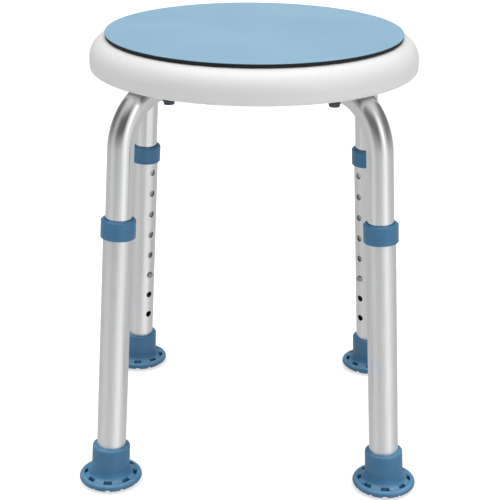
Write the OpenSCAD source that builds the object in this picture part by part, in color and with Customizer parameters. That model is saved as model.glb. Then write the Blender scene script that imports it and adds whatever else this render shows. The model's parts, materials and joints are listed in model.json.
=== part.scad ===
// Round shower stool with a swivel seat and four legs that adjust in height.
// Origin: centre of the four feet on the floor, +Z up, -Y towards the front.

/* [Seat] */
// Height of the pad's top face above the floor at the setting shown
seat_height = 431; // [425:1:440]
// Diameter of the seat base across its rim
seat_d = 326.4; // [322:0.2:340]
// Height of the seat base's rim
rim_height = 31.6; // [30:0.2:36]
// Radius of the big rounding on top of the rim
rim_round = 20; // [17:0.5:21]
// Wall thickness of the moulded seat base
seat_wall = 3; // [2.5:0.1:3.4]
// Diameter of the pad
pad_d = 296; // [286:1:300]
// Thickness of the pad's printed cover
cover_t = 0.9; // [0.6:0.1:1.2]
// Thickness of the pad's foam
foam_t = 3; // [2.4:0.1:4]

/* [Swivel] */
// Number of bearing balls
ball_count = 24; // [12:1:32]
// Diameter of a bearing ball
ball_d = 5; // [5:0.1:5.2]
// Radius of the circle the balls run on
ball_circle_r = 85; // [80:1:88]

/* [Frame] */
// Outside diameter of the bent upper tubes
upper_tube_d = 25.4; // [25:0.1:25.5]
// Wall thickness of the tubes
tube_wall = 1.2; // [1:0.1:1.25]
// Centre-line radius of the bends
bend_r = 55; // [50:1:58]
// Distance of the seat bolts from the centre
seat_bolt_r = 111; // [106:1:112]

/* [Legs] */
// Outside diameter of the lower leg tubes
leg_tube_d = 28.6; // [28.5:0.1:29]
// Angle between a leg and the vertical
splay = 4.17; // [3.5:0.01:5]
// Distance from the centre to a leg's axis at the floor
foot_circle_r = 195.2; // [190:0.2:200]
// Distance between adjustment holes
hole_pitch = 25.4; // [25:0.1:26]
// Number of adjustment holes in each leg
hole_count = 8; // [4:1:8]
// Diameter of an adjustment hole
hole_d = 7.4; // [7:0.1:8]
// Diameter of the foot's flange
foot_d = 62.4; // [58:0.2:66]

/* [Hidden] */

$fn = 96;
eps = 0.01;

// Which way each leg stands out from the centre, in degrees
front_left = 225;
front_right = -45;
rear_left = 135;
rear_right = 45;
leg_angles = [front_left, front_right, rear_left, rear_right];

// Heights of the seat's layers, from the pad down
pad_bottom = seat_height - cover_t - foam_t;
turntable_t = 4;
turntable_bottom = pad_bottom - turntable_t;
turntable_r = 140;
race_t = 1.5;
race_half_w = 9;
ball_z = turntable_bottom - race_t / 3 - ball_d / 2;
deck_top = ball_z - ball_d / 2 - race_t / 3;
deck_t = 3.6;
deck_bottom = deck_top - deck_t;
ball_gap = 0.05;
groove_r = ball_d / 2 + 0.2;

// Seat base
pad_clearance = 0.5;
rim_top = pad_bottom - pad_clearance;
rim_r = seat_d / 2;
rim_bottom = rim_top - rim_height;
rim_arc_r = rim_r - rim_round;
rim_arc_z = rim_top - rim_round;
bead_r = 3.4;
recess_r = 142;
rib_bottom = deck_bottom - 11.5;
rib_t = 2.4;
rib_step = 30;
saddle_w = 34;
saddle_inner_r = 74;
saddle_outer_r = 134;
boss_r = 8;
boss_top = turntable_bottom - 1.3;
drain_r = 125;
drain_hole_r = 3.5;

// Frame tubes
tube_r = upper_tube_d / 2;
tube_bore_r = tube_r - tube_wall;
run_z = 394 + seat_height - 431;
tube_top = run_z + tube_r;
tube_bottom = run_z - tube_r;
bend_centre_z = run_z - bend_r;
bend_start_z = bend_centre_z + bend_r * sin(splay);
bend_centre_r = foot_circle_r - bend_start_z * tan(splay) - bend_r * cos(splay);
lap_half_l = 18;
lap_gap = 0.15;
bend_overlap = 0.5;
bend_thinning = 0.03;
channel_r = tube_r + 0.2;

// Positions along a leg, measured up its axis from the floor
bend_start = bend_start_z / cos(splay);
upper_tube_end = 99.3;
first_hole = 67.8;
button_hole = 2;
button_at = first_hole + button_hole * hole_pitch;
collar_top = 275.7;
collar_h = 19;
collar_lip = 2;
leg_tube_top = collar_top - collar_lip;
leg_tube_foot = 12.5;
foot_washer_t = 2;
neck_top = 39.4;

// Leg details
leg_r = leg_tube_d / 2;
leg_bore_r = leg_r - tube_wall;
collar_r = 16.8;
collar_bore_r = tube_r + 0.3;
foot_r = foot_d / 2;
neck_r = 18.6;
foot_shift = 0.9;

// Fasteners: an M8 pivot bolt and M6 seat bolts
bolt_r = 4;
bolt_hole_r = 4.4;
nut_af = 13;
seat_bolt_shank_r = 3;
seat_bolt_hole_r = 3.4;
seat_bolt_af = 10;
head_h = 4;
saddle_t = 2.5;
saddle_r = 7.4;
insert_r = 4.6;
insert_z = tube_top + 0.7;
insert_h = 12.8;
washer_r = 12;
washer_t = 1.6;
nut_h = 8;

// Swivel pivot
hub_r = 22;
hub_floor_t = 2.6;
hub_bottom = deck_top + 0.6;
bush_z = hub_bottom + hub_floor_t;
bush_flange_t = 1.2;
bush_flange_r = 11;
bush_r = 6.5;
bush_bore_r = bolt_r + 0.08;
pocket_r = 14;
top_washer_z = bush_z + bush_flange_t + 0.05;
pivot_head_h = pad_bottom - 0.2 - top_washer_z - washer_t;

// Snap buttons
button_r = hole_d / 2 - 0.3;
button_proud = 2.4;
strip_t = 0.6;
strip_w = 7;
strip_x = 10.2;
strip_bottom = button_at - 5;
strip_top = button_at + 26;

blue_plastic = "#42698a";
blue_pad = "#96bcd3";
white_plastic = "#f1f2f2";
grey_plastic = "#c9ccce";
nylon = "#e6e2d4";
aluminium = "#c4c7c9";
steel = "#9aa0a6";
brass = "#b59a56";

// Places its children on a leg's axis: +Z up the leg, +X away from the stool's centre
module on_leg(angle) {
    rotate([0, 0, angle])
        translate([foot_circle_r, 0, 0])
            rotate([0, -splay, 0])
                children();
}

// Places a copy of its children above each seat bolt
module at_seat_bolts() {
    for (angle = leg_angles)
        rotate([0, 0, angle])
            translate([seat_bolt_r, 0, 0])
                children();
}

module tube(outer, inner, length) {
    difference() {
        cylinder(r = outer, h = length);
        translate([0, 0, -1])
            cylinder(r = inner, h = length + 2);
    }
}

module ring(outer, inner, z, height) {
    translate([0, 0, z])
        tube(outer, inner, height);
}

// Cylinder lying along +X
module bar(radius, x, length) {
    translate([x, 0, 0])
        rotate([0, 90, 0])
            cylinder(r = radius, h = length);
}

// A box that is centred on X and Y
module block(x, y, z, height) {
    translate([-x / 2, -y / 2, z])
        cube([x, y, height]);
}

// Half of a bent frame tube, from the crossing along +X and down to its end.
// The bend's wall is a little thinner than the straight tube's, as bending draws it out.
module half_frame_tube() {
    run_l = bend_centre_r - lap_half_l + bend_overlap;
    translate([lap_half_l, 0, run_z])
        rotate([0, 90, 0])
            tube(tube_r, tube_bore_r, run_l);
    translate([bend_centre_r, 0, bend_centre_z])
        rotate([90, 0, 0])
            rotate([0, 0, splay])
                rotate_extrude(angle = 90 - splay)
                    translate([bend_r, 0])
                        difference() {
                            circle(r = tube_r - bend_thinning);
                            circle(r = tube_bore_r + bend_thinning);
                        }
    on_leg(0)
        translate([0, 0, upper_tube_end])
            tube(tube_r, tube_bore_r, bend_start - upper_tube_end + bend_overlap);
}

// The pressed half-round stretch where one frame tube crosses the other
module half_lap() {
    length = 2 * lap_half_l;
    difference() {
        intersection() {
            bar(tube_r, -lap_half_l - tube_wall, length + 2 * tube_wall);
            block(length + 4 * tube_wall, 3 * tube_r, lap_gap, tube_r);
        }
        intersection() {
            bar(tube_bore_r, -lap_half_l - 2 * tube_wall, length + 4 * tube_wall);
            block(length + 6 * tube_wall, 3 * tube_r, lap_gap + tube_wall, tube_r);
        }
    }
    for (side = [-1, 1])
        bar(tube_r, side * (lap_half_l + tube_wall / 2) - tube_wall / 2, tube_wall);
}

// Cuts that both frame tubes need: seat bolts, pivot bolt and snap buttons
module frame_tube_cuts() {
    for (turn = [0, 180])
        rotate([0, 0, turn])
            translate([seat_bolt_r, 0, tube_bottom - 5])
                cylinder(r = seat_bolt_hole_r, h = upper_tube_d + 10);
    translate([0, 0, tube_bottom - 5])
        cylinder(r = bolt_hole_r, h = upper_tube_d + 10);
    for (turn = [0, 180])
        rotate([0, 0, turn])
            on_leg(0)
                translate([0, 0, button_at])
                    bar(hole_d / 2, -tube_r - 5, tube_r + 5);
}

// One bent tube: up = 1 laps over the other tube, up = -1 laps under it
module frame_tube(up) {
    difference() {
        union() {
            half_frame_tube();
            rotate([0, 0, 180])
                half_frame_tube();
            translate([0, 0, run_z])
                rotate([up > 0 ? 0 : 180, 0, 0])
                    half_lap();
        }
        frame_tube_cuts();
    }
}

module frame_tube_a() {
    color(aluminium)
        rotate([0, 0, rear_right])
            frame_tube(1);
}

module frame_tube_b() {
    color(aluminium)
        rotate([0, 0, rear_left])
            frame_tube(-1);
}

// Cross-section of the seat base's deck, recess wall and rim
module seat_base_profile() {
    difference() {
        union() {
            translate([recess_r, deck_bottom])
                square([rim_arc_r - recess_r, rim_top - deck_bottom]);
            intersection() {
                translate([rim_arc_r, rim_arc_z])
                    circle(r = rim_round);
                translate([rim_arc_r, rim_arc_z])
                    square(rim_round);
            }
        }
        translate([rim_arc_r, rim_arc_z])
            circle(r = rim_round - seat_wall);
    }
    translate([rim_r - seat_wall, rim_bottom + bead_r])
        square([seat_wall, rim_arc_z - rim_bottom - bead_r]);
    translate([rim_r - bead_r, rim_bottom + bead_r])
        circle(r = bead_r);
    translate([0, deck_bottom])
        square([recess_r + eps, deck_t]);
}

module seat_base_ribs() {
    rib_h = deck_bottom - rib_bottom;
    for (angle = [0 : rib_step : 359])
        rotate([0, 0, angle])
            translate([10, -rib_t / 2, rib_bottom])
                cube([rim_r - seat_wall / 2 - 10, rib_t, rib_h + eps]);
    for (radius = [56, recess_r + seat_wall / 2])
        ring(radius, radius - rib_t, rib_bottom, rib_h + eps);
    ring(ball_circle_r + rib_t / 2, ball_circle_r - rib_t / 2, rib_bottom, rib_h + eps);
    translate([0, 0, rib_bottom])
        cylinder(r = 17, h = rib_h + eps);
    for (angle = leg_angles)
        rotate([0, 0, angle])
            translate([saddle_inner_r, -saddle_w / 2, rib_bottom - 3])
                cube([saddle_outer_r - saddle_inner_r, saddle_w, rib_h + 3 + eps]);
}

module seat_base_cuts() {
    for (angle = [rear_right, rear_left])
        rotate([0, 0, angle])
            translate([0, 0, run_z])
                bar(channel_r, -saddle_outer_r - 10, 2 * saddle_outer_r + 20);
    translate([0, 0, rib_bottom - 5])
        cylinder(r = bolt_hole_r, h = 40);
    at_seat_bolts()
        translate([0, 0, run_z])
            cylinder(r = insert_r, h = insert_z + insert_h + 0.3 - run_z);
    for (angle = [15 : 30 : 359])
        if (angle % 90 != 45)
            rotate([0, 0, angle])
                translate([drain_r, 0, deck_bottom - 1])
                    cylinder(r = drain_hole_r, h = deck_t + 2);
}

module seat_base() {
    color(white_plastic)
        difference() {
            union() {
                rotate_extrude($fn = 180)
                    seat_base_profile();
                seat_base_ribs();
                at_seat_bolts()
                    translate([0, 0, deck_bottom])
                        cylinder(r = boss_r, h = boss_top - deck_bottom);
            }
            seat_base_cuts();
        }
}

// Steel ball race: a flat ring with a groove, facing = 1 for a groove on top
module race(z, groove_z) {
    rotate_extrude($fn = 180)
        difference() {
            translate([ball_circle_r - race_half_w, z])
                square([2 * race_half_w, race_t]);
            translate([ball_circle_r, groove_z])
                circle(r = groove_r);
        }
}

module lower_race() {
    color(steel)
        race(deck_top, ball_z - ball_d / 2 - ball_gap + groove_r);
}

module upper_race() {
    color(steel)
        race(turntable_bottom - race_t, ball_z + ball_d / 2 + ball_gap - groove_r);
}

module ball_cage() {
    color(nylon)
        difference() {
            ring(ball_circle_r + 6, ball_circle_r - 6, ball_z - 0.9, 1.8);
            for (i = [0 : ball_count - 1])
                rotate([0, 0, i * 360 / ball_count])
                    translate([ball_circle_r, 0, ball_z - 5])
                        cylinder(r = ball_d / 2 + 0.1, h = 10, $fn = 36);
        }
}

module bearing_balls() {
    color(steel)
        for (i = [0 : ball_count - 1])
            rotate([0, 0, i * 360 / ball_count])
                translate([ball_circle_r, 0, ball_z])
                    sphere(d = ball_d, $fn = 24);
}

module turntable() {
    lip_h = 3;
    lip_t = 3.5;
    color(grey_plastic)
        difference() {
            union() {
                translate([0, 0, turntable_bottom])
                    cylinder(r = turntable_r, h = turntable_t, $fn = 180);
                ring(turntable_r, turntable_r - lip_t, turntable_bottom - lip_h, lip_h + eps);
                translate([0, 0, hub_bottom])
                    cylinder(r = hub_r, h = turntable_bottom - hub_bottom + eps);
            }
            translate([0, 0, hub_bottom - 1])
                cylinder(r = bush_r, h = 20);
            translate([0, 0, bush_z])
                cylinder(r = pocket_r, h = 20);
        }
}

module pivot_bush() {
    color(nylon)
        difference() {
            union() {
                translate([0, 0, hub_bottom])
                    cylinder(r = bush_r, h = hub_floor_t + eps);
                translate([0, 0, bush_z])
                    cylinder(r = bush_flange_r, h = bush_flange_t);
            }
            translate([0, 0, hub_bottom - 1])
                cylinder(r = bush_bore_r, h = 20);
        }
}

module seat_pad_foam() {
    color("#1c1d20")
        translate([0, 0, pad_bottom])
            cylinder(d = pad_d, h = foam_t, $fn = 180);
}

module seat_pad_cover() {
    color(blue_pad)
        translate([0, 0, pad_bottom + foam_t])
            cylinder(d = pad_d, h = cover_t, $fn = 180);
}

module pivot_bolt() {
    head_z = top_washer_z + washer_t;
    bolt_end = tube_bottom - washer_t - nut_h - 2;
    color(steel) {
        difference() {
            translate([0, 0, head_z])
                cylinder(r1 = 7.5, r2 = 5.5, h = pivot_head_h);
            translate([0, 0, head_z + 1.2])
                cylinder(r = 2.5 / cos(30), h = 5, $fn = 6);
        }
        translate([0, 0, bolt_end])
            cylinder(r = bolt_r, h = head_z - bolt_end + eps);
    }
}

module pivot_top_washer() {
    color(steel)
        ring(washer_r, bolt_r + 0.2, top_washer_z, washer_t);
}

module pivot_bottom_washer() {
    color(steel)
        ring(washer_r, bolt_r + 0.2, tube_bottom - washer_t, washer_t);
}

module pivot_nut() {
    nut_z = tube_bottom - washer_t - nut_h;
    collar = 2;
    color(steel)
        difference() {
            union() {
                translate([0, 0, nut_z + collar])
                    cylinder(r = nut_af / 2 / cos(30), h = nut_h - collar, $fn = 6);
                translate([0, 0, nut_z])
                    cylinder(r = nut_af / 2 - 0.4, h = collar + eps);
            }
            translate([0, 0, nut_z - 1])
                cylinder(r = bolt_r + 0.02, h = nut_h + 2);
        }
}

module seat_bolts() {
    head_top = tube_bottom - saddle_t;
    color(steel)
        at_seat_bolts() {
            intersection() {
                translate([0, 0, head_top - head_h])
                    cylinder(r = seat_bolt_af / 2 / cos(30), h = head_h, $fn = 6);
                translate([0, 0, head_top - head_h])
                    cylinder(r1 = seat_bolt_af / 2 - 0.1, r2 = seat_bolt_af / 2 + 2.4, h = head_h);
            }
            translate([0, 0, head_top - eps])
                cylinder(r = seat_bolt_shank_r, h = insert_z + insert_h - 0.5 - head_top);
        }
}

// Plastic saddle washers that fit the round tube above and the bolt head below
module seat_bolt_saddles() {
    color("#3b4146")
        at_seat_bolts()
            difference() {
                translate([0, 0, tube_bottom - saddle_t])
                    cylinder(r = saddle_r, h = saddle_t + 2.4);
                translate([0, 0, run_z])
                    bar(tube_r, -20, 40);
                translate([0, 0, tube_bottom - saddle_t - 1])
                    cylinder(r = seat_bolt_shank_r + 0.2, h = 20);
            }
}

module threaded_inserts() {
    color(brass)
        at_seat_bolts()
            ring(insert_r, seat_bolt_shank_r + 0.02, insert_z, insert_h);
}

// Outer leg tube with its row of holes on the side that faces the stool's centre
module leg_tube(angle) {
    color(aluminium)
        on_leg(angle)
            difference() {
                translate([0, 0, leg_tube_foot])
                    tube(leg_r, leg_bore_r, leg_tube_top - leg_tube_foot);
                for (i = [0 : hole_count - 1])
                    translate([0, 0, first_hole + i * hole_pitch])
                        bar(hole_d / 2, -leg_r - 5, leg_r + 5);
            }
}

// Collar that caps a leg tube and guides the upper tube
module leg_collar(angle) {
    chamfer = 0.9;
    bottom = collar_top - collar_h;
    color(blue_plastic)
        on_leg(angle)
            rotate_extrude()
                polygon([
                    [leg_r, bottom],
                    [collar_r - chamfer, bottom],
                    [collar_r, bottom + chamfer],
                    [collar_r, collar_top - 1.6 * chamfer],
                    [collar_r - 1.6 * chamfer, collar_top],
                    [collar_bore_r + 0.5, collar_top],
                    [collar_bore_r, collar_top - 0.5],
                    [collar_bore_r, leg_tube_top],
                    [leg_r, leg_tube_top]
                ]);
}

// Cross-section of a foot's level flange, its round lip and the flare up to its neck
module foot_profile() {
    flare_r = 10;
    flare_z = 18;
    lip_r = 3.4;
    lip_z = 5.4;
    flare = [for (a = [180 : 8 : 244]) [neck_r + flare_r * (1 + cos(a)), flare_z + flare_r * sin(a)]];
    lip = [for (a = [130 : -17 : -40]) [foot_r - lip_r + lip_r * cos(a), lip_z + lip_r * sin(a)]];
    polygon(concat(
        [[0, 0], [0, flare_z]],
        flare,
        lip,
        [[foot_r - 4, 0.7], [foot_r - 5.4, 0]]
    ));
}

module foot_neck() {
    polygon([
        [0, 6],
        [neck_r + 0.4, 6],
        [neck_r, neck_top - 1.2],
        [neck_r - 0.3, neck_top - 0.4],
        [neck_r - 1.2, neck_top],
        [0, neck_top]
    ]);
}

// Pockets round the foot of the flare, notches through the flange's lower edge and rings under the sole
module foot_cuts() {
    pocket_angle = 20;
    pocket_inner_r = 22.6;
    pocket_w = 3.8;
    pocket_floor = 4.6;
    notch_w = 5;
    notch_h = 4.4;
    notch_depth = 8;
    sole_ring_w = 1.4;
    sole_ring_depth = 1.2;
    for (i = [0 : 7])
        rotate([0, 0, i * 45 - pocket_angle / 2])
            translate([0, 0, pocket_floor])
                rotate_extrude(angle = pocket_angle)
                    translate([pocket_inner_r, 0])
                        square([pocket_w, 10]);
    for (i = [0 : 11])
        rotate([0, 0, i * 30 + 15])
            translate([foot_r - notch_depth, -notch_w / 2, -1])
                cube([20, notch_w, notch_h + 1]);
    for (radius = [7, 13, 19])
        ring(radius + sole_ring_w, radius, -1, sole_ring_depth + 1);
}

module foot(angle) {
    color(blue_plastic)
        difference() {
            union() {
                rotate([0, 0, angle])
                    translate([foot_circle_r - foot_shift, 0, 0])
                        difference() {
                            rotate_extrude()
                                foot_profile();
                            foot_cuts();
                        }
                on_leg(angle)
                    rotate_extrude()
                        foot_neck();
            }
            on_leg(angle)
                translate([0, 0, leg_tube_foot - foot_washer_t])
                    cylinder(r = leg_r, h = neck_top);
        }
}

module foot_washer(angle) {
    color(steel)
        on_leg(angle)
            translate([0, 0, leg_tube_foot - foot_washer_t])
                cylinder(r = leg_r - 0.3, h = foot_washer_t);
}

// Domed button that locks a leg through one of its holes
module snap_button(angle) {
    tip = leg_r + button_proud;
    dome = 1.2;
    color(steel)
        on_leg(angle)
            translate([0, 0, button_at])
                rotate([0, -90, 0])
                    rotate_extrude()
                        polygon([
                            [0, strip_x + strip_t / 2],
                            [button_r, strip_x + strip_t / 2],
                            [button_r, tip - dome],
                            [button_r - 0.35, tip - 0.45 * dome],
                            [button_r - 1.1, tip - 0.12 * dome],
                            [0, tip]
                        ]);
}

// Spring strip bent into a U inside the upper tube
module snap_spring(angle) {
    color(steel)
        on_leg(angle) {
            for (side = [-1, 1])
                translate([side * strip_x - strip_t / 2, -strip_w / 2, strip_bottom])
                    cube([strip_t, strip_w, strip_top - strip_bottom]);
            translate([0, 0, strip_top - eps])
                rotate([90, 0, 0])
                    rotate_extrude(angle = 180)
                        translate([strip_x - strip_t / 2, -strip_w / 2])
                            square([strip_t, strip_w]);
        }
}

frame_tube_a();
frame_tube_b();
seat_base();
lower_race();
pivot_bolt();
pivot_top_washer();
pivot_bottom_washer();
pivot_nut();
seat_bolts();
seat_bolt_saddles();
threaded_inserts();
turntable();
upper_race();
pivot_bush();
seat_pad_foam();
seat_pad_cover();
ball_cage();
bearing_balls();
leg_tube(front_left);  // leg_tube_fl
leg_tube(front_right);  // leg_tube_fr
leg_tube(rear_left);  // leg_tube_rl
leg_tube(rear_right);  // leg_tube_rr
leg_collar(front_left);  // leg_collar_fl
leg_collar(front_right);  // leg_collar_fr
leg_collar(rear_left);  // leg_collar_rl
leg_collar(rear_right);  // leg_collar_rr
foot(front_left);  // foot_fl
foot(front_right);  // foot_fr
foot(rear_left);  // foot_rl
foot(rear_right);  // foot_rr
foot_washer(front_left);  // foot_washer_fl
foot_washer(front_right);  // foot_washer_fr
foot_washer(rear_left);  // foot_washer_rl
foot_washer(rear_right);  // foot_washer_rr
snap_button(front_left);  // snap_button_fl
snap_button(front_right);  // snap_button_fr
snap_button(rear_left);  // snap_button_rl
snap_button(rear_right);  // snap_button_rr
snap_spring(front_left);  // snap_spring_fl
snap_spring(front_right);  // snap_spring_fr
snap_spring(rear_left);  // snap_spring_rl
snap_spring(rear_right);  // snap_spring_rr
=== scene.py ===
"""Looks of a round shower stool: materials, soft pad, swept frame tubes, studio and camera.

Lengths are in metres in the row frame: +Z up, -Y towards the front, feet on z = 0.
"""
import json
import math

import bmesh
import bpy
from mathutils import Matrix, Vector, noise


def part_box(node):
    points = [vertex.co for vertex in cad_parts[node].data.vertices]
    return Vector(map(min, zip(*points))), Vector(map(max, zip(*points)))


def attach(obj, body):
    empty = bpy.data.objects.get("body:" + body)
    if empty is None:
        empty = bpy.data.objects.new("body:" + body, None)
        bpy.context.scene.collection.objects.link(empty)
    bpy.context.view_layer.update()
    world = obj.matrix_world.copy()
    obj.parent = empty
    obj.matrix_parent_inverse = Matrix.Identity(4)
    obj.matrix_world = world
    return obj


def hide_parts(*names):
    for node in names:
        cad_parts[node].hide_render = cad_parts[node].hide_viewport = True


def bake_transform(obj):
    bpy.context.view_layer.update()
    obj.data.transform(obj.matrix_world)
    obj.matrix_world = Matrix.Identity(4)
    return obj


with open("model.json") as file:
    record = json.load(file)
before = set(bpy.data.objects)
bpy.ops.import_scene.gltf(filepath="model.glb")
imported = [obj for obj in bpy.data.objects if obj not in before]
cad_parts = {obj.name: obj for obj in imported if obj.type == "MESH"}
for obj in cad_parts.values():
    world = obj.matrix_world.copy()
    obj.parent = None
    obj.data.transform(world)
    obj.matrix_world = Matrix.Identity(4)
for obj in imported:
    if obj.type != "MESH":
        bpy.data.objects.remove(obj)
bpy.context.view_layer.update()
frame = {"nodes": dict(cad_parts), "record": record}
NODES = frame["nodes"]
MM = 0.001
LEGS = {"fl": 225, "fr": -45, "rl": 135, "rr": 45}  # degrees round from +X

# The frame's own dimensions, as the CAD model has them
SPLAY = math.radians(4.17)          # each leg leans out from upright
FOOT_CIRCLE_R = 195.2 * MM          # from the stool's centre to a leg's axis, on the floor
TUBE_R = 12.7 * MM
TUBE_WALL = 1.2 * MM
BEND_R = 55 * MM                    # of the tube's centre line, where it turns down into a leg
SEAT_BOLT_CIRCLE_R = 111 * MM
SEAT_BOLT_HOLE_R = 3.4 * MM
PIVOT_HOLE_R = 4.4 * MM
BUTTON_HOLE_R = 3.7 * MM
LAP_GAP = 0.15 * MM                 # from the crossing's middle plane to each pressed tube
LAP_HALF = 14.5 * MM                # half the length that is pressed flat
LAP_RUN_OUT = 14 * MM               # length over which a tube grows round again
RIM_ROUND = 20 * MM                 # of the seat rim's upper edge
FOOT_CROWN_Z = 8.8 * MM             # the highest ring of a foot's flange
FOOT_TOP_Z = 40.6 * MM              # the top of a foot's neck

# Studio
FLOOR_HALF = 150.0                  # half a side, so wide that low views don't show its edge
FLOOR_DROP = 0.2 * MM               # keeps the floor off the feet's soles
FLOOR_GLOW = 0.64
SKY_BELOW = 0.15                    # the sky's level below the horizon
SKY_LOW = 0.01                      # 2 degrees above it
SKY_MIDDLE = 0.02                   # 24 degrees above it
SKY_HIGH = 0.10                     # 44 degrees above it; straight up it is 1
SKY_STRENGTH = 5.2
SOFTBOX_AIM = (0, 0, 0.2)
SOFTBOX_SIZE = 1.2
RIGHT_PLACE = (2.2, -1.3, 1.1)
RIGHT_POWER = 13
LEFT_PLACE = (-2.2, -0.9, 1.0)
LEFT_POWER = 1
DOME_R = 5.0
DOME_STRENGTH = 2.0
DOME_CEILING = 0.3                  # the dome's level straight up

# Meshes
SHARP_ANGLE = math.radians(35)      # edges sharper than this stay sharp on the pieces made here
CAD_SHARP_ANGLE = math.radians(32)  # and on the CAD nodes


# ---------------------------------------------------------------- camera

def make_camera():
    """The photograph's viewpoint: a long lens, a little right of centre, looking down."""
    azimuth = math.radians(1.49)
    elevation = math.radians(21.05)
    roll = math.radians(0.5)
    distance = 1.3851
    aim = Vector((-0.0024, 0, 0.1974))
    back = Vector((
        math.sin(azimuth) * math.cos(elevation),
        -math.cos(azimuth) * math.cos(elevation),
        math.sin(elevation),
    ))
    turn = (-back).to_track_quat("-Z", "Y").to_matrix() @ Matrix.Rotation(roll, 3, "Z")
    data = bpy.data.cameras.new("camera")
    data.sensor_width = 36
    data.lens = 94.71
    data.clip_start = 0.05
    data.clip_end = 2 * FLOOR_HALF
    camera = bpy.data.objects.new("camera", data)
    camera.matrix_world = Matrix.Translation(aim + back * distance) @ turn.to_4x4()
    bpy.context.scene.collection.objects.link(camera)
    bpy.context.scene.camera = camera


# ---------------------------------------------------------------- node helpers

class Shader:
    """A material's node tree with a principled shader, and short ways to add to it.

    Noise and cell scales are in features per metre, and colours are linear.
    """

    def __init__(self, name, **sockets):
        self.material = bpy.data.materials.new(name)
        self.material.use_nodes = True
        self.tree = self.material.node_tree
        self.tree.nodes.clear()
        self.output = self.tree.nodes.new("ShaderNodeOutputMaterial")
        self.bsdf = self.tree.nodes.new("ShaderNodeBsdfPrincipled")
        self.link(self.bsdf.outputs[0], self.output.inputs["Surface"])
        for socket, value in sockets.items():
            self.bsdf.inputs[socket.replace("_", " ")].default_value = value

    def link(self, a, b):
        """Joins an output to an input."""
        self.tree.links.new(a, b)

    def node(self, kind, **settings):
        """A new shader node of a kind, with its settings."""
        made = self.tree.nodes.new("ShaderNode" + kind)
        for key, value in settings.items():
            setattr(made, key, value)
        return made

    def coordinates(self, scale=(1, 1, 1), source="Object"):
        """Texture coordinates, stretched by scale."""
        mapping = self.node("Mapping")
        mapping.inputs["Scale"].default_value = scale
        self.link(self.node("TexCoord").outputs[source], mapping.inputs["Vector"])
        return mapping.outputs[0]

    def axis(self, vector, letter):
        """One component of a vector."""
        split = self.node("SeparateXYZ")
        self.link(vector, split.inputs[0])
        return split.outputs[letter]

    def noise(self, vector, scale=1.0, detail=4.0, rough=0.55):
        """Cloudy noise from 0 to 1, with its mean near 0.5."""
        made = self.node("TexNoise")
        made.inputs["Scale"].default_value = scale
        made.inputs["Detail"].default_value = detail
        made.inputs["Roughness"].default_value = rough
        self.link(vector, made.inputs["Vector"])
        return made.outputs["Fac"]

    def cells(self, vector, scale):
        """Distance from the middle of the nearest of many small cells."""
        made = self.node("TexVoronoi", feature="F1")
        made.inputs["Scale"].default_value = scale
        self.link(vector, made.inputs["Vector"])
        return made.outputs["Distance"]

    def remap(self, value, low, high, to_low, to_high):
        """The range low to high stretched to to_low to to_high, and held at its ends."""
        made = self.node("MapRange")
        limits = {"From Min": low, "From Max": high, "To Min": to_low, "To Max": to_high}
        for socket, number in limits.items():
            made.inputs[socket].default_value = number
        self.link(value, made.inputs["Value"])
        return made.outputs[0]

    def maths(self, operation, a, b):
        """One operation on two values, each a number or a socket."""
        made = self.node("Math", operation=operation)
        for socket, value in zip(made.inputs, (a, b)):
            if isinstance(value, (int, float)):
                socket.default_value = value
            else:
                self.link(value, socket)
        return made.outputs[0]

    def mix(self, factor, a, b):
        """A colour between a and b, each a colour or a socket."""
        made = self.node("Mix", data_type="RGBA")
        self.link(factor, made.inputs["Factor"])
        colours = [s for s in made.inputs if s.type == "RGBA"]
        for socket, value in zip(colours, (a, b)):
            if isinstance(value, tuple):
                socket.default_value = (*value, 1)
            else:
                self.link(value, socket)
        return [s for s in made.outputs if s.type == "RGBA"][0]

    def bump(self, height, strength, distance):
        """Adds fine relief on top of any relief that is there already."""
        made = self.node("Bump")
        made.inputs["Strength"].default_value = strength
        made.inputs["Distance"].default_value = distance
        self.link(height, made.inputs["Height"])
        old = self.bsdf.inputs["Normal"].links
        if old:
            self.link(old[0].from_socket, made.inputs["Normal"])
        self.link(made.outputs[0], self.bsdf.inputs["Normal"])

    def to(self, value, socket):
        """Drives one of the principled shader's inputs."""
        self.link(value, self.bsdf.inputs[socket])


# ---------------------------------------------------------------- materials

def aluminium(name, source="Object", along=2, satin=0.13, rubbed_and_shaded_from=None):
    """Aluminium tube: fine lines along the tube, faint smears, and rub marks with painted shade.

    along is the axis that runs down the tube, and satin is its least roughness. Past
    rubbed_and_shaded_from, a length along the tube from its middle, it is painted darker: partly scuffed
    dull by the leg that slides on it, partly painted shade where it shows through the leg's holes.
    """
    shader = Shader(name, Metallic=1.0, IOR=1.45)
    fine_scale = [520.0] * 3
    fine_scale[along] = 5.0
    broad_scale = [26.0] * 3
    broad_scale[along] = 3.0
    lines = shader.noise(shader.coordinates(fine_scale, source), detail=3)
    smears = shader.noise(shader.coordinates(broad_scale, source), detail=5)
    tone = shader.mix(shader.remap(lines, 0.3, 0.7, 0, 1), (0.76, 0.765, 0.775), (0.84, 0.845, 0.85))
    tone = shader.mix(shader.remap(smears, 0.55, 0.8, 0, 0.35), tone, (0.70, 0.705, 0.71))
    if rubbed_and_shaded_from:
        place = shader.axis(shader.coordinates(source=source), "XYZ"[along])
        length = shader.maths("ABSOLUTE", place, 0)
        streaks = shader.remap(lines, 0.3, 0.7, 0.62, 0.9)
        inside = shader.remap(length, rubbed_and_shaded_from - 2 * MM, rubbed_and_shaded_from + 12 * MM, 0, 1)
        # inside the leg: a darker tone, partly scuffs and partly painted shade seen through the leg's
        # holes
        tone = shader.mix(shader.maths("MULTIPLY", inside, streaks), tone, (0.27, 0.275, 0.28))
    shader.to(tone, "Base Color")
    fine = shader.remap(lines, 0.25, 0.75, satin, satin + 0.08)
    shader.to(shader.maths("ADD", fine, shader.remap(smears, 0.45, 0.8, 0, 0.1)), "Roughness")
    shader.bump(lines, 0.05, 0.2 * MM)
    return shader.material


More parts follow.
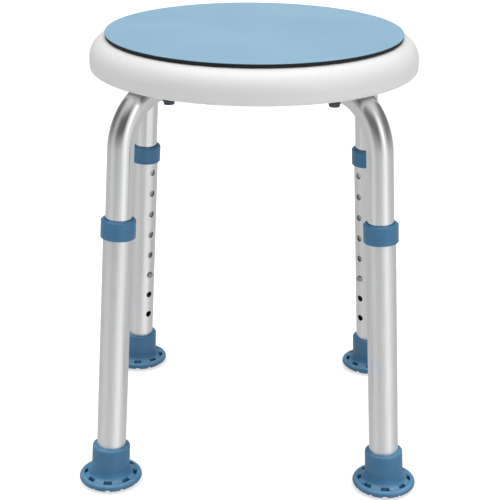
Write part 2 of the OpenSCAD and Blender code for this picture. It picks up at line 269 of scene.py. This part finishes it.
def white_plastic():
    """Glossy moulded plastic with a faint ripple and a few dust-sized flecks."""
    shader = Shader("white_plastic", IOR=1.47)
    place = shader.coordinates()
    clouds = shader.noise(place, 7, 2, 0.4)
    tone = shader.mix(shader.remap(clouds, 0.1, 0.9, 0, 1), (0.565, 0.565, 0.56), (0.62, 0.62, 0.62))
    flecks = shader.remap(shader.cells(place, 260), 0.0, 0.05, 1, 0)
    shader.to(shader.mix(shader.maths("MULTIPLY", flecks, 0.25), tone, (0.5, 0.5, 0.48)), "Base Color")
    shader.to(shader.remap(shader.noise(place, 60, 3), 0.2, 0.8, 0.26, 0.36), "Roughness")
    shader.bump(shader.noise(place, 850, 2), 0.06, 0.2 * MM)
    return shader.material


def grey_plastic():
    """Moulded turntable: satin, faintly cloudy."""
    shader = Shader("grey_plastic", IOR=1.47)
    place = shader.coordinates()
    clouds = shader.noise(place, 14, 4)
    shader.to(shader.mix(clouds, (0.50, 0.51, 0.52), (0.60, 0.61, 0.62)), "Base Color")
    shader.to(shader.remap(clouds, 0.3, 0.7, 0.42, 0.55), "Roughness")
    shader.bump(shader.noise(place, 1400, 2), 0.12, 0.2 * MM)
    return shader.material


def dark_plastic():
    """Moulded saddles under the seat bolts: nearly black, with a fine grain."""
    shader = Shader("dark_plastic", IOR=1.47)
    place = shader.coordinates()
    clouds = shader.noise(place, 60, 4)
    shader.to(shader.mix(clouds, (0.030, 0.038, 0.050), (0.055, 0.065, 0.080)), "Base Color")
    shader.to(shader.remap(clouds, 0.3, 0.7, 0.40, 0.55), "Roughness")
    shader.bump(shader.noise(place, 2200, 2), 0.15, 0.2 * MM)
    return shader.material


def nylon():
    """Natural, cream-coloured nylon of the pivot bush and the ball cage."""
    shader = Shader("nylon", IOR=1.53)
    place = shader.coordinates()
    clouds = shader.noise(place, 40, 4)
    shader.to(shader.mix(clouds, (0.70, 0.68, 0.58), (0.79, 0.77, 0.68)), "Base Color")
    shader.to(shader.remap(clouds, 0.3, 0.7, 0.35, 0.5), "Roughness")
    shader.bump(shader.noise(place, 1500, 2), 0.1, 0.2 * MM)
    return shader.material


# The blue of the collars and the feet
BLUE = (0.026, 0.125, 0.245)
BLUE_LIGHT = (0.034, 0.142, 0.272)
# painted highlight: the lighter blue of the feet's upward-facing crown and neck top
BLUE_PAINTED_HIGHLIGHT = (0.11, 0.26, 0.40)


def blue_plastic():
    """Moulded blue collars: soft gloss, faint flow lines round the ring."""
    shader = Shader("blue_plastic", IOR=1.48)
    place = shader.coordinates()
    flow = shader.noise(shader.coordinates((30, 30, 420)), 1, 4)
    clouds = shader.noise(place, 45, 4)
    tone = shader.mix(shader.remap(flow, 0.3, 0.7, 0, 1), BLUE, BLUE_LIGHT)
    shader.to(shader.mix(shader.remap(clouds, 0.6, 0.8, 0, 0.5), tone, (0.09, 0.20, 0.32)), "Base Color")
    shader.to(shader.remap(clouds, 0.3, 0.75, 0.26, 0.40), "Roughness")
    shader.bump(shader.noise(place, 1300, 3), 0.10, 0.2 * MM)
    return shader.material


def blue_rubber():
    """Blue feet: matte, with a painted highlight on the flange's crown and the neck's top, and painted
    shade low down by the floor.
    """
    shader = Shader("blue_rubber", IOR=1.5)
    place = shader.coordinates()
    clouds = shader.noise(place, 55, 5)
    tone = shader.mix(shader.remap(clouds, 0.3, 0.7, 0, 1), BLUE, BLUE_LIGHT)
    height = shader.axis(place, "Z")
    # painted highlight: the flange's crown and the neck's top are made lighter, where the top light falls
    # on them
    rise = shader.remap(height, FOOT_CROWN_Z - 2.6 * MM, FOOT_CROWN_Z - 0.3 * MM, 0, 1)
    fall = shader.remap(height, FOOT_CROWN_Z + 0.4 * MM, FOOT_CROWN_Z + 3 * MM, 1, 0)
    neck_highlight = shader.remap(height, FOOT_TOP_Z - 3.2 * MM, FOOT_TOP_Z - 1.4 * MM, 0, 0.7)
    painted_highlight_mask = shader.maths("MAXIMUM", shader.maths("MULTIPLY", rise, fall), neck_highlight)
    patchy_highlight = shader.remap(shader.noise(place, 160, 5, 0.6), 0.3, 0.6, 0.35, 0.75)
    tone = shader.mix(shader.maths("MULTIPLY", painted_highlight_mask, patchy_highlight), tone, BLUE_PAINTED_HIGHLIGHT)
    # painted shade: darker towards the floor, where the flange's underside is in shade
    painted_floor_shade = shader.remap(height, 2.5 * MM, 6 * MM, 0.85, 0)
    tone = shader.mix(painted_floor_shade, tone, (0.012, 0.050, 0.095))
    scuffs = shader.remap(shader.noise(place, 320, 6, 0.7), 0.50, 0.68, 0, 0.35)
    low = shader.remap(height, 0, 11 * MM, 1, 0)
    shader.to(shader.mix(shader.maths("MULTIPLY", low, scuffs), tone, (0.16, 0.22, 0.27)), "Base Color")
    shader.to(shader.remap(clouds, 0.3, 0.75, 0.34, 0.5), "Roughness")
    shader.bump(shader.noise(place, 900, 3), 0.16, 0.3 * MM)
    return shader.material


def zinc_steel(name="zinc_steel", low=(0.42, 0.44, 0.47), high=(0.56, 0.57, 0.58), rough=(0.24, 0.42)):
    """Plated steel hardware with a mottled crystal tone."""
    shader = Shader(name, Metallic=1.0)
    place = shader.coordinates()
    spots = shader.noise(place, 260, 5, 0.6)
    shader.to(shader.mix(shader.remap(spots, 0.3, 0.7, 0, 1), low, high), "Base Color")
    shader.to(shader.remap(spots, 0.3, 0.7, *rough), "Roughness")
    shader.bump(shader.noise(place, 1600, 3), 0.12, 0.1 * MM)
    return shader.material


def turned_steel():
    """Races: circular machining lines and a thin film of grease."""
    shader = Shader("race_steel", Metallic=1.0)
    place = shader.coordinates()
    radius = shader.node("VectorMath", operation="LENGTH")
    shader.link(shader.coordinates((1, 1, 0)), radius.inputs[0])
    rings = shader.node("TexNoise", noise_dimensions="1D")
    rings.inputs["Scale"].default_value = 1800
    shader.link(radius.outputs["Value"], rings.inputs["W"])
    shader.to(shader.mix(rings.outputs["Fac"], (0.48, 0.49, 0.50), (0.62, 0.63, 0.64)), "Base Color")
    shader.to(shader.remap(shader.noise(place, 60, 5), 0.3, 0.7, 0.2, 0.38), "Roughness")
    shader.bump(rings.outputs["Fac"], 0.2, 0.1 * MM)
    return shader.material


def brass():
    """Threaded inserts, with fine rings where the thread would be."""
    shader = Shader("brass", Metallic=1.0)
    place = shader.coordinates()
    spots = shader.noise(place, 300, 5)
    shader.to(shader.mix(spots, (0.55, 0.40, 0.16), (0.74, 0.58, 0.29)), "Base Color")
    shader.to(shader.remap(spots, 0.3, 0.7, 0.25, 0.4), "Roughness")
    shader.bump(shader.noise(shader.coordinates((200, 200, 2600)), 1, 2), 0.2, 0.1 * MM)
    return shader.material


def pad_cover_material():
    """Pale blue vinyl with a fine pebbled emboss, with painted shade between the pebbles."""
    shader = Shader("blue_pad", IOR=1.45)
    place = shader.coordinates()
    pebbles = shader.cells(place, 640)
    clouds = shader.noise(place, 11, 5)
    patches = shader.remap(clouds, 0.38, 0.66, 0, 1)
    tone = shader.mix(patches, (0.180, 0.318, 0.426), (0.200, 0.335, 0.437))
    # painted shade: darker in the valleys between the pebbles
    valley_shade = shader.remap(pebbles, 0.35, 0.75, 0, 0.22)
    shader.to(shader.mix(valley_shade, tone, (0.134, 0.258, 0.352)), "Base Color")
    shader.to(shader.remap(clouds, 0.3, 0.75, 0.52, 0.66), "Roughness")
    shader.bump(pebbles, 0.22, -0.3 * MM)
    shader.bump(shader.noise(place, 2600, 2), 0.1, 0.1 * MM)
    return shader.material


def foam_material():
    """Black closed-cell foam: open cut cells on the edge, with painted shade in the pores."""
    shader = Shader("black_foam", IOR=1.4)
    place = shader.coordinates()
    pores = shader.cells(place, 1500)
    # painted shade: the pores darker than the cell walls between them
    pore_shade = shader.remap(pores, 0.1, 0.6, 0, 1)
    shader.to(shader.mix(pore_shade, (0.003, 0.003, 0.004), (0.016, 0.017, 0.020)), "Base Color")
    shader.to(shader.remap(pores, 0.1, 0.6, 0.95, 0.75), "Roughness")
    shader.bump(pores, 0.6, 0.3 * MM)
    return shader.material


def paint_nodes(materials):
    """Gives every CAD node the material of its slot."""
    slots = {s["node"]: s["material_slot"] for s in frame["record"]["subparts"]}
    for name, node in NODES.items():
        node.data.materials.clear()
        node.data.materials.append(materials[slots[name]])
        for face in node.data.polygons:
            face.use_smooth = True
        node.data.set_sharp_from_angle(angle=CAD_SHARP_ANGLE)


# ---------------------------------------------------------------- meshes

def link_mesh(name, made, material):
    """An object from a bmesh, smooth but for its sharp edges."""
    bmesh.ops.recalc_face_normals(made, faces=made.faces)
    data = bpy.data.meshes.new(name)
    made.to_mesh(data)
    made.free()
    for face in data.polygons:
        face.use_smooth = True
    data.set_sharp_from_angle(angle=SHARP_ANGLE)
    data.materials.append(material)
    thing = bpy.data.objects.new(name, data)
    bpy.context.scene.collection.objects.link(thing)
    return thing


def arc(centre_x, centre_z, radius, start, end, steps):
    """Points along an arc, with angles in degrees."""
    angles = (math.radians(start + (end - start) * i / steps) for i in range(steps + 1))
    return [(centre_x + radius * math.cos(a), centre_z + radius * math.sin(a)) for a in angles]


def lathe(profile, steps, wobble):
    """A closed solid turned about Z from (r, z) points, each moved by wobble(angle, r, z)."""
    made = bmesh.new()
    rings = []
    for i in range(steps):
        angle = 2 * math.pi * i / steps
        ring = [wobble(angle, r, z) for r, z in profile]
        rings.append([made.verts.new((r * math.cos(angle), r * math.sin(angle), z)) for r, z in ring])
    for i in range(steps):
        a, b = rings[i], rings[(i + 1) % steps]
        for j in range(len(profile) - 1):
            made.faces.new((a[j], b[j], b[j + 1], a[j + 1]))
    for j in (0, len(profile) - 1):
        made.faces.new([ring[j] for ring in rings])
    return made


def ease(value):
    """0 to 1 with a soft start and end."""
    value = min(max(value, 0.0), 1.0)
    return value * value * (3 - 2 * value)


def tube_stations():
    """Centre line of half a frame tube, from the crossing out and down to its end.

    Each station is (length so far, point, outward normal) in the tube's own upright plane.
    """
    sin_t, cos_t = math.sin(SPLAY), math.cos(SPLAY)
    run_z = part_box("frame_tube_a")[1].z - TUBE_R
    end_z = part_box("frame_tube_a")[0].z + TUBE_R * sin_t
    bend_z = run_z - BEND_R
    leg_start = Vector((0, bend_z + BEND_R * sin_t))
    leg_start.x = FOOT_CIRCLE_R - leg_start.y * math.tan(SPLAY)
    bend_x = leg_start.x - BEND_R * cos_t
    lap_step = 2 * MM
    lap_places = [i * lap_step for i in range(21)]
    run_middle = 76 * MM
    run_places = lap_places + [run_middle, bend_x]
    stations = [(x, Vector((x, run_z)), Vector((0, 1))) for x in run_places]

    bend_steps = 28
    upright = math.pi / 2
    for i in range(1, bend_steps + 1):
        angle = upright - (upright - SPLAY) * i / bend_steps
        normal = Vector((math.cos(angle), math.sin(angle)))
        length = bend_x + BEND_R * (upright - angle)
        stations.append((length, Vector((bend_x, bend_z)) + normal * BEND_R, normal))

    leg_steps = 24
    length = stations[-1][0]
    reach = (leg_start.y - end_z) / cos_t
    for i in range(1, leg_steps + 1):
        step = reach * i / leg_steps
        place = leg_start + Vector((sin_t, -cos_t)) * step
        stations.append((length + step, place, Vector((cos_t, sin_t))))
    return stations


def frame_tube_length(height):
    """How far along a frame tube from its middle its centre line comes down to a height."""
    return next(length for length, point, _ in tube_stations() if point.y < height)


def swept_tube(name, angle, up, material):
    """A bent frame tube with a wall, pressed to a half round where it crosses the other one.

    up is 1 where the round half is above the crossing and -1 where it is below.
    """
    half = tube_stations()
    mirrored = [(-s, Vector((-p.x, p.y)), Vector((-n.x, n.y))) for s, p, n in reversed(half[1:])]
    stations = mirrored + half
    sides = 64
    made = bmesh.new()
    uv_layer = made.loops.layers.uv.new("UVMap")
    turn = Matrix.Rotation(math.radians(angle), 3, "Z")
    shells = []
    for radius, rest in ((TUBE_R, LAP_GAP), (TUBE_R - TUBE_WALL, LAP_GAP + TUBE_WALL)):
        rings = []
        for s, point, normal in stations:
            flat = 1 - ease((abs(s) - LAP_HALF) / LAP_RUN_OUT)
            ring = []
            for k in range(sides):
                a = 2 * math.pi * k / sides
                out, side = radius * math.cos(a) * up, radius * math.sin(a)
                out += (max(out, rest) - out) * flat
                place = point + normal * out * up
                ring.append(made.verts.new(turn @ Vector((place.x, side, place.y))))
            rings.append(ring)
        shells.append(rings)
    lengths_along = [length for length, _, _ in stations]
    for rings in shells:
        for i in range(len(rings) - 1):
            ring, after = rings[i], rings[i + 1]
            here, there = lengths_along[i], lengths_along[i + 1]
            for k in range(sides):
                face = made.faces.new((ring[k], ring[(k + 1) % sides], after[(k + 1) % sides], after[k]))
                arcs = [2 * math.pi * TUBE_R * q / sides for q in (k, k + 1, k + 1, k)]
                for loop, u, v in zip(face.loops, arcs, (here, here, there, there)):
                    loop[uv_layer].uv = (u, v)
    for end in (0, -1):
        outer, inner = shells[0][end], shells[1][end]
        for k in range(sides):
            made.faces.new((outer[k], outer[(k + 1) % sides], inner[(k + 1) % sides], inner[k]))
    return link_mesh(name, made, material)


def cut_holes(thing, cutters):
    """Cuts cylinders out of a mesh: each cutter is (centre, direction, radius, length)."""
    sides = 40
    made = bmesh.new()
    for centre, direction, radius, length in cutters:
        place = Matrix.Translation(centre) @ direction.to_track_quat("Z", "Y").to_matrix().to_4x4()
        bmesh.ops.create_cone(
            made,
            cap_ends=True,
            segments=sides,
            radius1=radius,
            radius2=radius,
            depth=length,
            matrix=place,
        )
    tool = link_mesh(thing.name + "_cutter", made, thing.data.materials[0])
    cut = thing.modifiers.new("holes", "BOOLEAN")
    cut.object = tool
    cut.solver = "EXACT"
    bpy.context.view_layer.objects.active = thing
    bpy.ops.object.modifier_apply(modifier=cut.name)
    data = tool.data
    bpy.data.objects.remove(tool)
    bpy.data.meshes.remove(data)
    thing.data.set_sharp_from_angle(angle=SHARP_ANGLE)


def make_frame_tubes(material):
    """Both bent tubes, with the holes for the pivot bolt, the seat bolts and the snap buttons."""
    through_both_walls = 40 * MM
    through_one_wall = 9 * MM
    run = Vector((0, 0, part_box("frame_tube_a")[1].z - TUBE_R))
    upright = Vector((0, 0, 1))
    for letter, angle, up in (("a", 45, 1), ("b", 135, -1)):
        tube = swept_tube(f"bent_tube_{letter}", angle, up, material)
        out = Vector((math.cos(math.radians(angle)), math.sin(math.radians(angle)), 0))
        cutters = [(run, upright, PIVOT_HOLE_R, through_both_walls)]
        for r in (-SEAT_BOLT_CIRCLE_R, SEAT_BOLT_CIRCLE_R):
            cutters.append((run + out * r, upright, SEAT_BOLT_HOLE_R, through_both_walls))
        for leg, leg_angle in LEGS.items():
            if (leg_angle - angle) % 180 == 0:
                low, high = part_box(f"snap_button_{leg}")
                across = leg_direction(leg_angle)
                cutters.append(((low + high) / 2, across, BUTTON_HOLE_R, through_one_wall))
        cut_holes(tube, cutters)
        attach(tube, "frame")
        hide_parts(f"frame_tube_{letter}")


def leg_direction(angle):
    """Unit vector across a leg, away from the stool's centre, square to the leg's slanted axis."""
    a = math.radians(angle)
    return Vector((math.cos(a) * math.cos(SPLAY), math.sin(a) * math.cos(SPLAY), math.sin(SPLAY)))


def copy_of_node(node, name, material):
    """A new object with a CAD node's shape, which can be shaded or blended on its own."""
    data = NODES[node].data.copy()
    data.materials.clear()
    data.materials.append(material)
    thing = bpy.data.objects.new(name, data)
    bpy.context.scene.collection.objects.link(thing)
    return thing


def make_seat_base(material):
    """The moulded seat base, shaded as the true round rim instead of by its triangles."""
    shell = copy_of_node("seat_base", "seat_shell", material)
    data = shell.data
    low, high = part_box("seat_base")
    rim_r = high.x
    arc_r, arc_z = rim_r - RIM_ROUND, high.z - RIM_ROUND
    lower_edge = low.z + 3.2 * MM
    tolerance = 0.1 * MM
    least_agreement = 0.9  # between a face's own normal and the rim's, as a cosine

    def rim_normal(point):
        """The rim's normal at a point on its outer face, or None elsewhere."""
        r = math.hypot(point.x, point.y)
        if r < arc_r or point.z < lower_edge:
            return None
        across, up = (r - arc_r, point.z - arc_z) if point.z > arc_z else (RIM_ROUND, 0)
        if abs(math.hypot(across, up) - RIM_ROUND) > tolerance or (up == 0 and r < rim_r - tolerance):
            return None
        return Vector((point.x / r * across, point.y / r * across, up)).normalized()

    normals = [n.vector.copy() for n in data.corner_normals]
    for face in data.polygons:
        true = [rim_normal(data.vertices[v].co) for v in face.vertices]
        if all(true) and all(n.dot(face.normal) > least_agreement for n in true):
            for loop, n in zip(face.loop_indices, true):
                normals[loop] = n
    data.normals_split_custom_set(normals)
    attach(shell, "frame")
    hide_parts("seat_base")


def make_snap_springs(material):
    """The U-shaped springs, as copies of their CAD nodes in the spring material."""
    for leg, angle in LEGS.items():
        spring = copy_of_node(f"snap_spring_{leg}", f"spring_strip_{leg}", material)
        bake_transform(spring)
        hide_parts(f"snap_spring_{leg}")


# ---------------------------------------------------------------- studio

def ramp_stops(ramp, stops):
    """Sets a colour ramp to grey levels at positions, given as (position, level) pairs."""
    elements = ramp.color_ramp.elements
    while len(elements) < len(stops):
        elements.new(0.5)
    for element, (position, level) in zip(elements, stops):
        element.position = position
        element.color = (level, level, level, 1)


def make_floor():
    """The pale floor, lit from within a little, so that it stays clean under soft light."""
    white = (1, 1, 1, 1)
    shader = Shader("studio_floor", Roughness=0.9, Emission_Color=white, Emission_Strength=FLOOR_GLOW)
    grain = shader.noise(shader.coordinates(), 3, 4)
    shader.to(shader.mix(grain, (0.38, 0.38, 0.38), (0.40, 0.40, 0.40)), "Base Color")
    made = bmesh.new()
    bmesh.ops.create_grid(made, x_segments=1, y_segments=1, size=FLOOR_HALF)
    floor = link_mesh("studio_floor", made, shader.material)
    floor.location.z = -FLOOR_DROP
    floor.visible_glossy = False


def make_sky():
    """A soft sky, bright overhead; behind the floor's far edge the camera sees plain white."""
    world = bpy.data.worlds.new("studio")
    bpy.context.scene.world = world
    world.use_nodes = True
    tree = world.node_tree
    background = tree.nodes["Background"]
    split = tree.nodes.new("ShaderNodeSeparateXYZ")
    height = tree.nodes.new("ShaderNodeMapRange")
    height.inputs["From Min"].default_value = -1
    ramp = tree.nodes.new("ShaderNodeValToRGB")
    tree.links.new(tree.nodes.new("ShaderNodeTexCoord").outputs["Generated"], split.inputs[0])
    tree.links.new(split.outputs["Z"], height.inputs["Value"])
    tree.links.new(height.outputs[0], ramp.inputs["Fac"])
    tree.links.new(ramp.outputs["Color"], background.inputs["Color"])
    # 0 is straight down, half way is the horizon and 1 is straight up
    ramp_stops(ramp, [
        (0.0, SKY_BELOW),
        (0.49, SKY_BELOW),
        (0.52, SKY_LOW),
        (0.70, SKY_MIDDLE),
        (0.85, SKY_HIGH),
        (1.0, 1.0),
    ])
    background.inputs["Strength"].default_value = SKY_STRENGTH
    backdrop = tree.nodes.new("ShaderNodeBackground")
    backdrop.inputs["Color"].default_value = (1, 1, 1, 1)
    choose = tree.nodes.new("ShaderNodeMixShader")
    tree.links.new(tree.nodes.new("ShaderNodeLightPath").outputs["Is Camera Ray"], choose.inputs[0])
    tree.links.new(background.outputs[0], choose.inputs[1])
    tree.links.new(backdrop.outputs[0], choose.inputs[2])
    tree.links.new(choose.outputs[0], tree.nodes["World Output"].inputs["Surface"])


def make_softbox(name, place, power):
    """A round soft light aimed at the stool, which mirrors don't show."""
    data = bpy.data.lights.new(name, "AREA")
    data.shape = "DISK"
    data.size = SOFTBOX_SIZE
    data.energy = power
    softbox = bpy.data.objects.new(name, data)
    softbox.location = place
    softbox.rotation_mode = "QUATERNION"
    softbox.rotation_quaternion = (Vector(SOFTBOX_AIM) - Vector(place)).to_track_quat("-Z", "Y")
    softbox.visible_glossy = False
    bpy.context.scene.collection.objects.link(softbox)


def make_studio():
    """Floor, sky, a softbox on the right, a weak one on the left, and a dome for the tubes to mirror."""
    bpy.context.scene.view_settings.view_transform = "Standard"
    make_floor()
    make_sky()
    make_softbox("right_softbox", RIGHT_PLACE, RIGHT_POWER)
    make_softbox("left_softbox", LEFT_PLACE, LEFT_POWER)
    make_reflection_dome()


def make_reflection_dome():
    """A wide dome of soft panels that only mirrors show, so that the tubes have something to reflect."""
    shader = Shader("studio_dome")
    emission = shader.node("Emission")
    shader.link(emission.outputs[0], shader.output.inputs["Surface"])
    place = shader.coordinates((1 / DOME_R,) * 3)
    to_front = shader.maths("MULTIPLY", shader.axis(place, "Y"), -1.0)
    around = shader.maths("ARCTAN2", shader.axis(place, "X"), to_front)
    turn = shader.remap(around, -math.pi, math.pi, 0, 1)
    # azimuth from the front in degrees, positive to the right, and how bright the dome is there
    low_panels = [(-180, 0.58), (-120, 0.59), (-95, 0.62), (-60, 0.74), (-25, 0.62), (-8, 0.66), (8, 0.75),
                  (24, 0.90), (41, 1.08), (53, 1.06), (66, 0.86), (84, 0.70), (110, 0.62), (180, 0.58)]
    high_panels = [(-180, 0.30), (-105, 0.14), (-64, 0.50), (-36, 0.14), (8, 0.11), (25, 0.85),
                   (39, 1.6), (55, 0.6), (78, 0.20), (120, 0.18), (180, 0.30)]
    ramps = []
    for panels in (low_panels, high_panels):
        ramp = shader.node("ValToRGB")
        ramp.color_ramp.interpolation = "EASE"
        stops = [((azimuth + 180) / 360, level / DOME_STRENGTH) for azimuth, level in panels]
        ramp_stops(ramp, stops)
        shader.link(turn, ramp.inputs["Fac"])
        ramps.append(ramp.outputs["Color"])
    height = shader.axis(place, "Z")
    rise = shader.remap(height, -0.20, 0.30, 0, 1)
    ceiling = shader.remap(height, 0.6, 0.85, 0, 1)
    colour = shader.mix(ceiling, shader.mix(rise, *ramps), (DOME_CEILING,) * 3)
    shader.link(colour, emission.inputs["Color"])
    emission.inputs["Strength"].default_value = DOME_STRENGTH
    made = bmesh.new()
    bmesh.ops.create_uvsphere(made, u_segments=96, v_segments=48, radius=DOME_R)
    dome = link_mesh("studio_dome", made, shader.material)
    dome.visible_camera = False
    dome.visible_diffuse = False
    dome.visible_shadow = False
    dome.visible_transmission = False
    dome.visible_volume_scatter = False


# ---------------------------------------------------------------- soft pad

def uneven_edge(radius, amount, seed):
    """A wobble for lathe that draws a disc's edge in by up to amount, a little differently all round."""
    edge_from = 0.9 * radius
    ripple_round = 4
    ripple_down = 300

    def wobble(angle, r, z):
        if r < edge_from:
            return r, z
        x, y = math.cos(angle) * ripple_round, math.sin(angle) * ripple_round
        ripple = noise.noise(Vector((x, y, z * ripple_down + seed)))
        return r - amount * (0.5 + 0.5 * ripple), z

    return wobble


def make_pad(cover_material, foam):
    """The blue cover and the black foam of the seat pad, with slightly uneven cut edges."""
    cover_low, cover_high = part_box("seat_pad_cover")
    radius = cover_high.x
    top, middle, bottom = cover_high.z, cover_low.z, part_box("seat_pad_foam")[0].z
    steps = 360
    inner_radii = (0.02 * radius, 0.5 * radius)

    edge_round = 0.55 * MM
    crown = 0.12 * MM
    crown_rings = 24
    cover_foot = radius - 0.1 * MM
    profile = [(r, middle) for r in inner_radii] + [(cover_foot, middle)]
    profile += arc(radius - edge_round, top - crown - edge_round, edge_round, -20, 90, 6)
    for k in reversed(range(1, crown_rings)):
        r = radius * k / crown_rings
        profile.append((r, top - crown * (r / radius) ** 6))
    cover = link_mesh("pad_cover", lathe(profile, steps, uneven_edge(radius, 0.3 * MM, 1)), cover_material)
    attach(cover, "swivel_seat")
    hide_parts("seat_pad_cover")

    foam_round = 0.5 * MM
    foam_foot = radius - 0.9 * MM
    foam_waist = radius - 0.55 * MM
    foam_shoulder = radius - 0.35 * MM
    foam_top = middle - 0.02 * MM
    profile = [(r, bottom) for r in inner_radii]
    profile += arc(foam_foot, bottom + foam_round, foam_round, -90, 0, 3)
    profile += [(foam_waist, (bottom + middle) / 2), (foam_shoulder, foam_top)]
    profile += [(r, foam_top) for r in reversed(inner_radii)]
    pad = link_mesh("pad_foam", lathe(profile, steps, uneven_edge(radius, 0.35 * MM, 7)), foam)
    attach(pad, "swivel_seat")
    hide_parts("seat_pad_foam")


# ---------------------------------------------------------------- build

def main():
    """Camera, studio, materials and then the pieces that stand for CAD nodes."""
    make_camera()
    make_studio()
    materials = {
        "tube_aluminium": aluminium("tube_aluminium", satin=0.31),
        "white_plastic": white_plastic(),
        "grey_plastic": grey_plastic(),
        "dark_plastic": dark_plastic(),
        "nylon": nylon(),
        "blue_plastic": blue_plastic(),
        "blue_rubber": blue_rubber(),
        "zinc_steel": zinc_steel(),
        "spring_steel": zinc_steel("spring_steel", (0.25, 0.26, 0.27), (0.38, 0.39, 0.40), (0.2, 0.35)),
        "dark_steel": zinc_steel("dark_steel", (0.07, 0.085, 0.11), (0.13, 0.15, 0.18), (0.3, 0.45)),
        "button_steel": zinc_steel("button_steel", (0.30, 0.31, 0.33), (0.40, 0.41, 0.43), (0.22, 0.34)),
        "ball_steel": zinc_steel("ball_steel", (0.60, 0.61, 0.62), (0.70, 0.71, 0.72), (0.06, 0.14)),
        "race_steel": turned_steel(),
        "brass": brass(),
        "blue_pad": pad_cover_material(),
        "black_foam": foam_material(),
    }
    paint_nodes(materials)
    collar_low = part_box("leg_collar_fl")[0].z
    rubbed_and_shaded_from = frame_tube_length(collar_low)
    make_frame_tubes(aluminium("bent_tube_aluminium", "UV", along=1, rubbed_and_shaded_from=rubbed_and_shaded_from))
    make_seat_base(materials["white_plastic"])
    make_snap_springs(materials["spring_steel"])
    make_pad(materials["blue_pad"], materials["black_foam"])


main()
